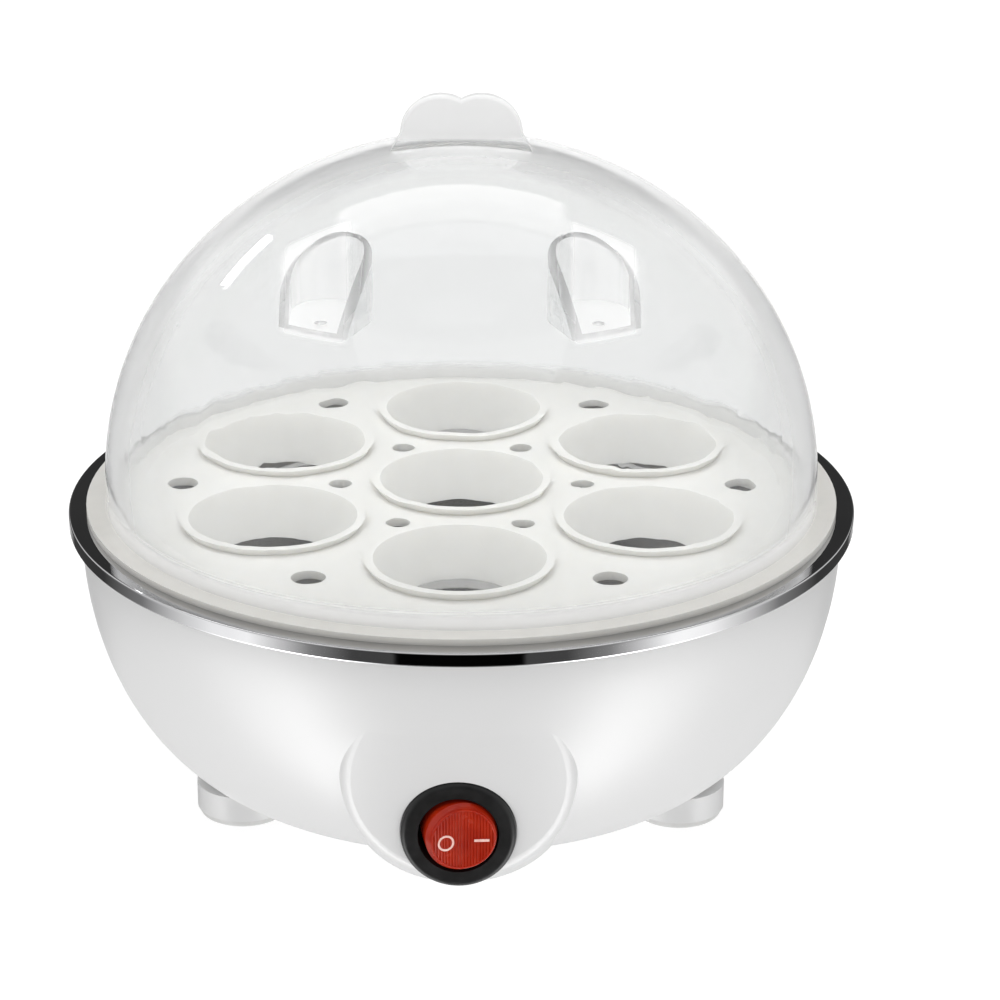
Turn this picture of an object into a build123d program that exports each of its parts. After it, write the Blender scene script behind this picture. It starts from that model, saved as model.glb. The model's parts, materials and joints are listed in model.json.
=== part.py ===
from build123d import *
from math import cos, radians, sin, sqrt, tan
import os

# Seven-egg steam cooker, in millimetres. The origin is on the table under the bowl's axis,
# +Z is up, the switch faces -Y and +X is to the right of someone facing the switch.

# Driving dimensions

# Egg rack, whose seats set the width of the whole cooker
seat_r = 17.5
seat_taper = 6.0
seat_web = 6.4
seat_margin = 4.7
seat_collar = 1.6
seat_drop = 8.0
seat_count = 6
rack_wall = 1.8
rack_bevel = 4.7
rack_rim_t = 1.4
rack_deck_rise = 2.6
rack_clear = 1.0
rack_skirt = 2.5
rack_skirt_t = 1.6
inner_vent_r = 2.5
outer_vent_r = 3.5
outer_vent_inset = 9.0

# Domed lid with a comb-shaped tab and two recessed steam vents
lid_wall = 2.0
lid_fit = 0.3
lid_margin = 4.2
lid_skirt = 4.6
lid_crown = 72.0
comb_lobe_r = 8.5
comb_lobe_x = 4.2
comb_rise = 2.0
comb_t = 3.2
comb_root = 30.0
comb_round = 0.8
recess_back_r = 7.3
recess_back_x = 26.2
recess_back_inset = 38.7
recess_front_r = 5.0
recess_front_x = 28.6
recess_front_inset = 26.0
recess_depth = 24.3
recess_wall = 1.8
steam_hole_r = 1.3
steam_hole_in = 1.3
steam_hole_back = 5.0

# Steel water tray that hangs in the bowl by its flange
tray_sheet = 0.8
rack_margin = 3.8
flange_width = 8.4
rim_lip = 2.8
rim_round = 1.6
rim_gap = 1.8
tray_mouth_round = 2.0
tray_taper = 5.6
tray_depth = 22.0
tray_corner = 9.0

# Bowl housing, a straight band above a quarter ellipse with a flat underside
ground_gap = 3.0
bowl_h = 58.0
bowl_band = 3.0
bowl_flat_r = 44.0
bowl_wall = 2.2
gasket_t = 1.2

# Self-tapping screws
screw_r = 1.45
screw_gap = 0.05
screw_tip_gap = 1.0
screw_head_r = 2.9
screw_head = 2.0
screw_grip = 8.0
post_r = 3.4
hole_gap = 0.25

# Bottom cover in its recess
cover_rim = 4.0
cover_t = 2.0
cover_gap = 0.25
ledge_t = 2.2
ledge_margin = 0.1
vent_ring_r = 22.0
vent_length = 12.0
vent_width = 2.6
vent_count = 8
cover_screw_count = 3
cover_screw_first = 30.0

# Feet
foot_r = 10.0
foot_step = 8.3
foot_angle = 62.7
pad_t = 1.6
pad_inset = 0.5
pad_spigot_r = 3.0
pad_spigot = 3.8

# Front boss for the switch
switch_z = 21.7
nose_face_inset = 3.2
nose_top_z = 45.0
nose_tuck = 0.05
nose_margin = 2.6
nose_length = 38.0
nose_spread = 12.1
nose_lift = 13.8
nose_pitch = 31.0
nose_round = 3.2
collar_inset = 0.3
panel_flat = 1.0

# Round rocker switch
rocker_r = 7.75
rocker_gap = 0.3
rocker_face = 4.4
rocker_back = 3.0
rocker_dish_r = 30.0
rocker_dish = 0.6
rocker_tilt = 11.0
pivot_depth = 3.4
pivot_r = 1.2
pivot_reach = 1.0
pivot_fit = 0.05
switch_wall = 0.95
switch_depth = 13.0
switch_back = 1.5
switch_gap = 0.15
bezel_lap = 1.5
bezel_t = 2.0
bezel_round = 1.2
plunger_r = 1.0
plunger_head_r = 1.5
plunger_head = 2.0
plunger_gap = 0.35
spring_r = 1.5
spring_core_r = 0.8
spring_length = 2.6
bore_gap = 0.1
lever_length = 12.0
lever_width = 3.6
lever_t = 0.6
lever_rod_r = 0.7
lever_height = 2.6
lever_tilt = 6.0
contact_gap = 0.3
lamp_r = 1.75
lamp_tip = 0.2
lamp_length = 6.0
lamp_rise = 5.2
blade_t = 0.8
blade_width = 4.8
blade_length = 9.0
blade_pitch = 5.2
slot_gap = 0.05

# Heater under the tray
element_r = 33.0
element_tube_r = 3.3
element_seat = 0.05
element_gap = 24.0
element_bend = 9.0
element_leg = 4.0
element_pin_r = 1.5
element_pin = 6.0
spreader_edge = 5.7
spreader_t = 2.0
bead_r = 3.0
bead_length = 3.0
bead_gap = 0.05

# Stud and strap that pull the tray down on its gasket
stud_r = 2.0
stud_head_r = 6.0
stud_head_t = 1.2
stud_tail = 2.0
strap_drop = 16.0
strap_t = 1.5
strap_width = 12.0
strap_inset = 20.4
pillar_r = 4.5
pillar_height = 11.0
rib_t = 3.0
washer_r = 4.5
washer_t = 0.8
nut_flat = 7.0
nut_t = 3.2
bolt_gap = 0.2

# Thermostat and thermal fuse on the spreader
sensor_y = 17.0
sensor_r = 7.2
sensor_h = 8.0
cap_step = 0.8
cap_h = 3.6
sensor_blade_x = 4.0
sensor_blade = 9.6
sensor_blade_width = 6.3
bracket_t = 0.8
bracket_rim = 2.2
bracket_ear_x = 13.0
bracket_ear_r = 3.2
bracket_gap = 0.2
fuse_r = 2.0
fuse_length = 10.0
fuse_leg_r = 0.5
fuse_leg = 4.0
fuse_seat = 0.1
clip_t = 0.8
clip_width = 5.0
clip_foot = 7.0

# Cord entry at the back
gland_z = 20.0
gland_inset = 4.4
gland_wall = 4.0
gland_bore_r = 3.5
gland_sleeve = 2.5
gland_grip = 1.5
gland_collar = 2.5
gland_boss_edge = 2.5
gland_flange = 2.5
gland_round = 0.8
gland_lip = 2.3
gland_fit = 0.1
clamp_back = 20.0
clamp_x = 9.0
clamp_top = 22.5
clamp_width = 8.0
clamp_t = 2.5
block_back = 12.0
block_width = 28.0
block_depth = 9.0
block_height = 9.5
block_pitch = 9.0
block_hole_r = 1.5
block_hole_rise = 5.0
block_screw_r = 1.8
block_screw_depth = 3.0
block_screw_t = 2.2

# Insulated leads
lead_r = 1.1
lead_floor_gap = 3.0
lead_end_gap = 0.1
lead_plug = 3.0
bend_share = 0.45
sleeve_r = 2.0
sleeve_length = 5.0

# Values that follow from the driving dimensions
LOW = (Align.CENTER, Align.CENTER, Align.MIN)
past = 1.0

seat_hole_r = seat_r - seat_taper
seat_pitch = 2 * (seat_r + rack_wall) + seat_web
rack_deck_r = seat_pitch + seat_r + rack_wall + seat_margin
step_r = rack_deck_r + rack_bevel
lid_r = step_r + lid_fit + lid_wall
rack_rim_r = lid_r + lid_margin
rim_r = rack_rim_r + rack_margin
tray_mouth_r = rim_r - flange_width
tray_floor_r = tray_mouth_r - tray_taper
skirt_r = tray_mouth_r - rack_clear
bowl_r = rim_r - tray_sheet - rim_gap
inner_vent_ring = seat_pitch / sqrt(3)
outer_vent_ring = rack_deck_r - outer_vent_inset

bowl_rim_z = ground_gap + bowl_h
bowl_band_z = bowl_rim_z - bowl_band
flange_z = bowl_rim_z + gasket_t + tray_sheet
tray_floor_z = flange_z - tray_depth
tray_under_z = tray_floor_z - tray_sheet
cover_r = bowl_flat_r - cover_rim
cover_ledge = 2 * (post_r + ledge_margin)
cover_top_z = ground_gap + cover_t
floor_z = cover_top_z + ledge_t
opening_r = cover_r - cover_ledge
cover_screw_r = cover_r - cover_ledge / 2
post_top_z = floor_z + screw_grip
foot_ring_r = bowl_flat_r + foot_step

ledge_z = flange_z + rack_rim_t
deck_z = flange_z + rack_deck_rise
collar_z = deck_z + seat_collar
seat_low_z = deck_z - seat_drop

lid_spring_z = ledge_z + lid_skirt
lid_top_z = lid_spring_z + lid_crown
recess_z = lid_top_z - recess_depth
recess_back_y = lid_r - recess_back_inset
recess_front_y = lid_r - recess_front_inset
steam_hole_x = recess_front_x - steam_hole_in
steam_hole_y = recess_front_y - steam_hole_back

spreader_r = element_r + element_tube_r + spreader_edge
spreader_z = tray_under_z - spreader_t
element_z = spreader_z - element_seat - element_tube_r
strap_reach = bowl_r - strap_inset
strap_top_z = spreader_z - strap_drop
strap_low_z = strap_top_z - strap_t
stud_low_z = strap_low_z - washer_t - nut_t - stud_tail
cap_r = sensor_r + cap_step
bracket_r = sensor_r + bracket_gap + bracket_rim

switch_bore_r = rocker_r + rocker_gap
switch_body_r = switch_bore_r + pivot_reach + switch_wall
bezel_r = switch_body_r + bezel_lap
nose_r = bezel_r + nose_spread
nose_face_r = bowl_r - nose_face_inset
nose_fall = (bowl_band_z - nose_top_z) / (bowl_band_z - ground_gap)
nose_top_r = bowl_flat_r + (bowl_r - bowl_flat_r) * sqrt(1 - nose_fall**2) - nose_tuck
nose_front = bowl_r + nose_margin
nose_z = switch_z + nose_lift + (nose_front - nose_face_r) * tan(radians(nose_pitch))
panel_y = panel_flat - nose_face_r
pivot_y = panel_y - bezel_t + pivot_depth
switch_floor_y = panel_y + switch_depth - switch_back
switch_rear_y = panel_y + switch_depth
blade_end_y = switch_rear_y + blade_length
lever_y = switch_floor_y - lever_height
plunger_tip = lever_y - lever_rod_r / 2 - lever_t - plunger_gap - pivot_y

gland_neck_r = gland_bore_r + gland_sleeve
gland_lip_r = gland_neck_r + gland_grip
gland_flange_r = gland_neck_r + gland_collar
gland_boss_r = gland_flange_r + gland_boss_edge
gland_face_y = bowl_r - gland_inset
gland_inner_y = gland_face_y - gland_wall
clamp_y = gland_face_y - clamp_back
block_y = clamp_y - block_back

foot_places = [
    (foot_ring_r * sin(radians(angle)), -foot_ring_r * cos(radians(angle)))
    for angle in (-foot_angle, foot_angle, 180)
]
seat_turns = [radians(turn * 360 / seat_count) for turn in range(seat_count)]
seat_places = [(0, 0)] + [(seat_pitch * sin(turn), -seat_pitch * cos(turn)) for turn in seat_turns]


# Helpers that add to the part being built

def upright(radius, x, y, low, high, mode=Mode.ADD):
    """A round bar along Z."""
    with Locations((x, y, low)):
        Cylinder(radius, high - low, align=LOW, mode=mode)


def level(radius, x, z, near, far, mode=Mode.ADD):
    """A round bar along Y, from the front to the back."""
    with Locations(Location((x, near, z), (-90, 0, 0))):
        Cylinder(radius, far - near, align=LOW, mode=mode)


def block(x, y, z, mode=Mode.ADD):
    """A box between pairs of limits on the three axes."""
    with Locations(((x[0] + x[1]) / 2, (y[0] + y[1]) / 2, (z[0] + z[1]) / 2)):
        Box(x[1] - x[0], y[1] - y[0], z[1] - z[0], mode=mode)


def around(centre, half):
    """The limits of a span about its centre."""
    return (centre - half, centre + half)


# Shapes used by more than one piece

def bowl_form(inset, top):
    """The bowl as a solid of revolution, drawn in by an inset, up to a height."""
    base = ground_gap + inset
    side = bowl_r - inset
    with BuildPart() as form:
        with BuildSketch(Plane.XZ):
            with BuildLine():
                Line((0, base), (bowl_flat_r, base))
                EllipticalCenterArc(
                    (bowl_flat_r, bowl_band_z),
                    side - bowl_flat_r,
                    bowl_band_z - base,
                    start_angle=270,
                    arc_size=90,
                )
                Polyline((side, bowl_band_z), (side, top), (0, top), (0, base))
            make_face()
        revolve(axis=Axis.Z)
    return form.part


def nose_form(inset, rounding):
    """The switch boss: a tilted drum, its face bent to run into the bowl's wall and rounded all round."""
    with BuildPart() as form:
        with BuildSketch(Plane.XZ.offset(nose_front)):
            with Locations((0, nose_z)):
                Circle(nose_r - inset)
        extrude(
            amount=nose_length / cos(radians(nose_pitch)),
            dir=(0, cos(radians(nose_pitch)), -sin(radians(nose_pitch))),
        )
        with BuildSketch(Plane.XZ):
            with BuildLine():
                face = ThreePointArc(
                    (nose_face_r - inset, 0),
                    (nose_face_r - inset, switch_z),
                    (nose_top_r - inset, nose_top_z),
                )
                rise = Line(face @ 1, face @ 1 + 2 * nose_r * (face % 1))
                Polyline(rise @ 1, (0, (rise @ 1).Y), (0, 0), face @ 0)
            make_face()
        revolve(axis=Axis.Z, mode=Mode.INTERSECT)
        rim = form.faces().sort_by(Axis.Y)[:2].edges()
        fillet([edge for edge in rim if abs(edge.center().Z - nose_top_z) > past], rounding)
        split(bisect_by=Plane.XY.offset(nose_top_z), keep=Keep.BOTTOM)
        split(bisect_by=Plane.XY.offset(ground_gap + inset))
    return form.part


def recess_form(inset, low):
    """The two vent recesses as upright prisms, from a height to above the lid."""
    with BuildPart() as form:
        for side in (-1, 1):
            with BuildSketch(Plane.XY.offset(low)):
                with Locations((side * recess_back_x, -recess_back_y)):
                    Circle(recess_back_r + inset)
                with Locations((side * recess_front_x, -recess_front_y)):
                    Circle(recess_front_r + inset)
                make_hull()
            extrude(amount=lid_top_z - low)
    return form.part


def dome_form(inset, low):
    """The lid's dome as a solid, drawn in by its wall, down to a height."""
    side = lid_r - inset
    with BuildPart() as form:
        with BuildSketch(Plane.XZ):
            with BuildLine():
                Polyline((0, lid_top_z - inset), (0, low), (side, low), (side, lid_spring_z))
                Bezier(
                    (side, lid_spring_z),
                    (side, lid_top_z - inset),
                    (0, lid_top_z - inset),
                    weights=[1, sqrt(0.5), 1],
                )
            make_face()
        revolve(axis=Axis.Z)
    return form.part


def screw(x, y, seat, tip, down):
    """A pan-head screw on Z, its head below the seat if down is -1 and above it if 1."""
    head = seat + down * screw_head
    upright(screw_head_r, x, y, min(seat, head), max(seat, head))
    upright(screw_r, x, y, min(seat, tip), max(seat, tip))


# Lid

with BuildPart() as lid_hollow:
    add(dome_form(lid_wall, ledge_z - past))
    add(recess_form(recess_wall, recess_z - recess_wall), mode=Mode.SUBTRACT)

with BuildPart() as lid:
    with BuildSketch(Plane.XZ.offset(-comb_t / 2)):
        with Locations((-comb_lobe_x, lid_top_z + comb_rise), (comb_lobe_x, lid_top_z + comb_rise)):
            Circle(comb_lobe_r)
        with BuildLine():
            comb_half = comb_lobe_x + comb_lobe_r
            Polyline(
                (-comb_root / 2, lid_top_z - lid_wall),
                (comb_root / 2, lid_top_z - lid_wall),
                (comb_half, lid_top_z + comb_rise),
                (-comb_half, lid_top_z + comb_rise),
                close=True,
            )
        make_face()
    extrude(amount=comb_t)
    comb_faces = lid.faces().filter_by(Axis.Y)
    fillet(comb_faces.edges().filter_by(GeomType.CIRCLE), comb_round)
    add(dome_form(0, ledge_z))
    add(lid_hollow.part, mode=Mode.SUBTRACT)
    add(recess_form(0, recess_z), mode=Mode.SUBTRACT)
    for side in (-1, 1):
        upright(
            steam_hole_r,
            side * steam_hole_x,
            -steam_hole_y,
            recess_z - recess_wall - past,
            recess_z + past,
            Mode.SUBTRACT,
        )

# Egg rack

with BuildPart() as egg_rack:
    with BuildSketch(Plane.XZ):
        with BuildLine():
            Polyline(
                (0, deck_z),
                (rack_deck_r, deck_z),
                (step_r, ledge_z),
                (rack_rim_r, ledge_z),
                (rack_rim_r, flange_z),
                (skirt_r, flange_z),
                (skirt_r, flange_z - rack_skirt),
                (skirt_r - rack_skirt_t, flange_z - rack_skirt),
                (skirt_r - rack_skirt_t, deck_z - rack_wall),
                (0, deck_z - rack_wall),
                close=True,
            )
        make_face()
    revolve(axis=Axis.Z)
    with Locations([(x, y, seat_low_z) for x, y in seat_places]):
        Cone(seat_hole_r + rack_wall, seat_r + rack_wall, collar_z - seat_low_z, align=LOW)
    with Locations([(x, y, seat_low_z) for x, y in seat_places]):
        Cone(seat_hole_r, seat_r, collar_z - seat_low_z, align=LOW, mode=Mode.SUBTRACT)
    with BuildSketch(Plane.XY.offset(deck_z)):
        half_step = 180 / seat_count
        with PolarLocations(inner_vent_ring, seat_count, start_angle=half_step - 90):
            Circle(inner_vent_r)
        with PolarLocations(outer_vent_ring, seat_count, start_angle=half_step - 90):
            Circle(outer_vent_r)
    extrude(amount=-rack_wall - past, mode=Mode.SUBTRACT)

# Steel tray and its gasket

with BuildPart() as heating_tray:
    with BuildSketch(Plane.XZ):
        with BuildLine():
            sheet = FilletPolyline(
                (0, tray_floor_z),
                (tray_floor_r, tray_floor_z),
                (tray_mouth_r, flange_z),
                (rim_r, flange_z),
                (rim_r, flange_z - rim_lip),
                radius=[tray_corner, tray_mouth_round, rim_round],
            )
            offset(sheet, amount=tray_sheet, side=Side.RIGHT)
        make_face()
    revolve(axis=Axis.Z)

with BuildPart() as tray_gasket:
    with BuildSketch(Plane.XY.offset(bowl_rim_z)):
        Circle(bowl_r)
        Circle(bowl_r - bowl_wall, mode=Mode.SUBTRACT)
    extrude(amount=gasket_t)

# Bowl housing

with BuildPart() as housing_hollow:
    add(bowl_form(bowl_wall, bowl_rim_z + past))
    add(nose_form(bowl_wall, nose_round - bowl_wall))
    level(gland_boss_r - bowl_wall, 0, gland_z, clamp_y, gland_inner_y)
    upright(bowl_r, 0, 0, 0, floor_z, Mode.SUBTRACT)
    for side in (-1, 1):
        pillar_x = side * strap_reach
        rib_end = side * bowl_r
        pillar_top_z = strap_top_z + pillar_height
        upright(pillar_r, pillar_x, 0, strap_top_z, pillar_top_z, Mode.SUBTRACT)
        block(
            (min(pillar_x, rib_end), max(pillar_x, rib_end)),
            around(0, rib_t / 2),
            (strap_top_z, pillar_top_z),
            Mode.SUBTRACT,
        )
        upright(post_r, side * clamp_x, clamp_y, 0, clamp_top, Mode.SUBTRACT)

with BuildPart() as bowl_housing:
    add(bowl_form(0, bowl_rim_z))
    add(nose_form(0, nose_round))
    level(bezel_r - collar_inset, 0, switch_z, panel_y, panel_y + nose_round)
    level(gland_boss_r, 0, gland_z, clamp_y, gland_face_y)
    for x, y in foot_places:
        upright(foot_r, x, y, pad_t, floor_z)
    add(housing_hollow.part, mode=Mode.SUBTRACT)
    upright(cover_r + cover_gap, 0, 0, ground_gap - past, cover_top_z, Mode.SUBTRACT)
    upright(opening_r, 0, 0, ground_gap, floor_z + past, Mode.SUBTRACT)
    with PolarLocations(cover_screw_r, cover_screw_count, start_angle=cover_screw_first):
        with Locations((0, 0, cover_top_z)):
            Cylinder(post_r, post_top_z - cover_top_z, align=LOW)
            Cylinder(screw_r + screw_gap, screw_grip, align=LOW, mode=Mode.SUBTRACT)
    for side in (-1, 1):
        upright(
            screw_r + screw_gap,
            side * strap_reach,
            0,
            strap_top_z - past,
            strap_top_z + screw_grip,
            Mode.SUBTRACT,
        )
        upright(
            screw_r + screw_gap,
            side * clamp_x,
            clamp_y,
            clamp_top - screw_grip,
            clamp_top + past,
            Mode.SUBTRACT,
        )
    for x, y in foot_places:
        upright(pad_spigot_r + hole_gap, x, y, 0, pad_t + pad_spigot + hole_gap, Mode.SUBTRACT)
    level(bezel_r + switch_gap, 0, switch_z, -nose_front, panel_y, Mode.SUBTRACT)
    level(switch_body_r + switch_gap, 0, switch_z, -nose_front, switch_rear_y, Mode.SUBTRACT)
    level(gland_neck_r + gland_fit, 0, gland_z, clamp_y, gland_face_y + past, Mode.SUBTRACT)

# Bottom cover, its screws and the foot pads

with BuildPart() as bottom_cover:
    upright(cover_r, 0, 0, ground_gap, cover_top_z)
    with PolarLocations(cover_screw_r, cover_screw_count, start_angle=cover_screw_first):
        with Locations((0, 0, ground_gap)):
            Cylinder(screw_r + hole_gap, cover_t, align=LOW, mode=Mode.SUBTRACT)
            Cone(
                screw_head_r + hole_gap,
                screw_r + hole_gap,
                cover_t / 2,
                align=LOW,
                mode=Mode.SUBTRACT,
            )
    with BuildSketch(Plane.XY.offset(ground_gap)):
        with PolarLocations(vent_ring_r, vent_count):
            SlotOverall(vent_length, vent_width)
    extrude(amount=cover_t, mode=Mode.SUBTRACT)

with BuildPart() as cover_screws:
    with PolarLocations(cover_screw_r, cover_screw_count, start_angle=cover_screw_first):
        with Locations((0, 0, ground_gap)):
            Cylinder(screw_r, cover_t + screw_grip - screw_tip_gap, align=LOW)
            Cone(screw_head_r, screw_r, cover_t / 2, align=LOW)

foot_pads = {}
for name, (x, y) in zip(("left", "right", "rear"), foot_places):
    with BuildPart() as foot_pad:
        upright(foot_r - pad_inset, x, y, 0, pad_t)
        fillet(foot_pad.edges().sort_by(Axis.Z)[0], pad_t / 2)
        upright(pad_spigot_r, x, y, pad_t / 2, pad_t + pad_spigot)
    foot_pads["foot_pad_" + name] = foot_pad

# Heater under the tray

with BuildPart() as heat_spreader:
    upright(spreader_r, 0, 0, spreader_z, tray_under_z)
    for x in (-bracket_ear_x, bracket_ear_x):
        upright(screw_r + screw_gap, x, -sensor_y, spreader_z, tray_under_z, Mode.SUBTRACT)
    upright(screw_r + screw_gap, 0, sensor_y + clip_foot, spreader_z, tray_under_z, Mode.SUBTRACT)


def element_end(side):
    """Where one end of the heater ring stops, and the way it was heading, on the side -1 or 1."""
    angle = radians(90 - side * element_gap)
    place = Vector(element_r * cos(angle), element_r * sin(angle), element_z)
    return place, Vector(-side * sin(angle), side * cos(angle), 0)


def element_foot(side):
    """The lower end of one of the heater's cold legs."""
    place, heading = element_end(side)
    return place + heading * element_bend - Vector(0, 0, element_bend + element_leg)


with BuildPart() as heating_element:
    with BuildLine():
        for side in (-1, 1):
            place, heading = element_end(side)
            drop = Vector(0, 0, element_bend)
            outward = (heading + Vector(0, 0, 1)).normalized()
            middle = place - drop + outward * element_bend
            elbow = place + heading * element_bend - drop
            ThreePointArc(place, middle, elbow)
            Line(elbow, element_foot(side))
        CenterArc((0, 0, element_z), element_r, 90 + element_gap, 360 - 2 * element_gap)
    with BuildSketch(Plane(element_foot(-1), z_dir=(0, 0, 1))):
        Circle(element_tube_r)
    sweep()

with BuildPart() as element_pins:
    for side in (-1, 1):
        foot = element_foot(side)
        upright(element_pin_r, foot.X, foot.Y, foot.Z - element_pin, foot.Z)

with BuildPart() as element_beads:
    for side in (-1, 1):
        foot = element_foot(side)
        upright(bead_r, foot.X, foot.Y, foot.Z - bead_length, foot.Z)
        upright(element_pin_r + bead_gap, foot.X, foot.Y, foot.Z - bead_length, foot.Z, Mode.SUBTRACT)

# Stud, strap and their fasteners

with BuildPart() as tray_stud:
    upright(stud_head_r, 0, 0, spreader_z - stud_head_t, spreader_z)
    upright(stud_r, 0, 0, stud_low_z, spreader_z)

with BuildPart() as hold_down_strap:
    with BuildSketch(Plane.XY.offset(strap_low_z)):
        SlotOverall(2 * strap_reach + strap_width, strap_width)
        Circle(stud_r + bolt_gap, mode=Mode.SUBTRACT)
        with Locations((-strap_reach, 0), (strap_reach, 0)):
            Circle(screw_r + hole_gap, mode=Mode.SUBTRACT)
    extrude(amount=strap_t)

with BuildPart() as strap_screws:
    for side in (-1, 1):
        screw(side * strap_reach, 0, strap_low_z, strap_top_z + screw_grip - screw_tip_gap, -1)

with BuildPart() as stud_washer:
    upright(washer_r, 0, 0, strap_low_z - washer_t, strap_low_z)
    upright(stud_r + bolt_gap, 0, 0, strap_low_z - washer_t, strap_low_z, Mode.SUBTRACT)

with BuildPart() as stud_nut:
    with BuildSketch(Plane.XY.offset(strap_low_z - washer_t - nut_t)):
        RegularPolygon(nut_flat / 2, 6, major_radius=False)
        Circle(stud_r + screw_gap, mode=Mode.SUBTRACT)
    extrude(amount=nut_t)

# Thermostat on the front of the spreader, thermal fuse on the back

cap_low_z = spreader_z - cap_h
sensor_low_z = cap_low_z - sensor_h
blade_low_z = sensor_low_z - sensor_blade

with BuildPart() as thermostat_cap:
    upright(cap_r, 0, -sensor_y, cap_low_z, spreader_z)

with BuildPart() as thermostat_body:
    upright(sensor_r, 0, -sensor_y, sensor_low_z, cap_low_z)

with BuildPart() as thermostat_terminals:
    for side in (-1, 1):
        block(
            around(side * sensor_blade_x, blade_t / 2),
            around(-sensor_y, sensor_blade_width / 2),
            (blade_low_z, sensor_low_z),
        )

with BuildPart() as thermostat_bracket:
    with BuildSketch(Plane.XY.offset(cap_low_z - bracket_t)):
        with Locations((0, -sensor_y)):
            Circle(bracket_r)
        with Locations((-bracket_ear_x, -sensor_y), (bracket_ear_x, -sensor_y)):
            Circle(bracket_ear_r)
        make_hull()
        with Locations((0, -sensor_y)):
            Circle(sensor_r + bracket_gap, mode=Mode.SUBTRACT)
        with Locations((-bracket_ear_x, -sensor_y), (bracket_ear_x, -sensor_y)):
            Circle(screw_r + hole_gap, mode=Mode.SUBTRACT)
    extrude(amount=bracket_t)

with BuildPart() as bracket_screws:
    for side in (-1, 1):
        screw(side * bracket_ear_x, -sensor_y, cap_low_z - bracket_t, tray_under_z - screw_gap, -1)

fuse_z = spreader_z - fuse_seat - fuse_r

with BuildPart() as thermal_fuse:
    with BuildSketch(Plane.YZ.offset(-fuse_length / 2)):
        with Locations((sensor_y, fuse_z)):
            Circle(fuse_r)
    extrude(amount=fuse_length)
    with BuildSketch(Plane.YZ.offset(-fuse_length / 2 - fuse_leg)):
        with Locations((sensor_y, fuse_z)):
            Circle(fuse_leg_r)
    extrude(amount=fuse_length + 2 * fuse_leg)

with BuildPart() as fuse_clip:
    clip_r = fuse_r + fuse_seat
    with BuildSketch(Plane.YZ.offset(-clip_width / 2)):
        with Locations((sensor_y, fuse_z)):
            Circle(clip_r + clip_t)
        with Locations((sensor_y, (fuse_z + spreader_z) / 2)):
            Rectangle(2 * (clip_r + clip_t), spreader_z - fuse_z)
        with Locations((sensor_y + clip_foot / 2 + post_r / 2, spreader_z - clip_t / 2)):
            Rectangle(clip_foot + post_r, clip_t)
        with Locations((sensor_y, fuse_z)):
            Circle(clip_r, mode=Mode.SUBTRACT)
        with Locations((sensor_y, (fuse_z + spreader_z) / 2)):
            Rectangle(2 * clip_r, spreader_z - fuse_z, mode=Mode.SUBTRACT)
        with Locations((sensor_y, spreader_z + clip_t / 2)):
            Rectangle(2 * (clip_r + clip_t), clip_t, mode=Mode.SUBTRACT)
    extrude(amount=clip_width)
    clip_hole_y = sensor_y + clip_foot
    upright(screw_r + hole_gap, 0, clip_hole_y, spreader_z - clip_t, spreader_z, Mode.SUBTRACT)

with BuildPart() as clip_screw:
    screw(0, sensor_y + clip_foot, spreader_z - clip_t, tray_under_z - screw_gap, -1)

# Round rocker switch

with BuildPart() as switch_body:
    level(bezel_r, 0, switch_z, panel_y - bezel_t, panel_y)
    fillet(switch_body.edges().sort_by(Axis.Y)[0], bezel_round)
    level(switch_body_r, 0, switch_z, panel_y, switch_rear_y)
    level(switch_bore_r, 0, switch_z, panel_y - bezel_t - past, switch_floor_y, Mode.SUBTRACT)
    pivot_socket = rocker_r + pivot_reach + rocker_gap
    with Locations((0, pivot_y, switch_z)):
        Cylinder(pivot_r + pivot_fit, 2 * pivot_socket, mode=Mode.SUBTRACT)
    for step in (-1, 0, 1):
        block(
            around(step * blade_pitch, blade_t / 2 + slot_gap),
            (switch_floor_y, switch_rear_y),
            around(switch_z, blade_width / 2 + slot_gap),
            Mode.SUBTRACT,
        )

contact_y = lever_y - lever_rod_r / 2 + sin(radians(lever_tilt)) * blade_pitch + contact_gap

with BuildPart() as switch_terminals:
    for step, top_y in ((-1, contact_y), (0, lever_y), (1, switch_floor_y)):
        block(
            around(step * blade_pitch, blade_t / 2),
            (top_y, blade_end_y),
            around(switch_z, lever_width / 2),
        )
        block(
            around(step * blade_pitch, blade_t / 2),
            (switch_floor_y, blade_end_y),
            around(switch_z, blade_width / 2),
        )
    block(around(0, lever_rod_r + blade_t), (lever_y, switch_floor_y), around(switch_z, lever_width / 2))
    with Locations((0, lever_y, switch_z)):
        Cylinder(lever_rod_r + pivot_fit, lever_width + past, mode=Mode.SUBTRACT)

lever_plane = Plane(
    (0, lever_y, switch_z),
    x_dir=(cos(radians(-lever_tilt)), sin(radians(-lever_tilt)), 0),
    z_dir=(sin(radians(-lever_tilt)), -cos(radians(-lever_tilt)), 0),
)

with BuildPart(lever_plane) as contact_lever:
    with Locations((0, 0, lever_rod_r / 2)):
        Box(lever_length, lever_width, lever_t, align=LOW)
    with Locations(Rotation(90, 0, 0)):
        Cylinder(lever_rod_r, lever_width)

rocker_plane = Plane(
    (0, pivot_y, switch_z),
    x_dir=(cos(radians(rocker_tilt)), sin(radians(rocker_tilt)), 0),
    z_dir=(sin(radians(rocker_tilt)), -cos(radians(rocker_tilt)), 0),
)
bore_top = plunger_head - rocker_back + spring_length + bore_gap

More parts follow.
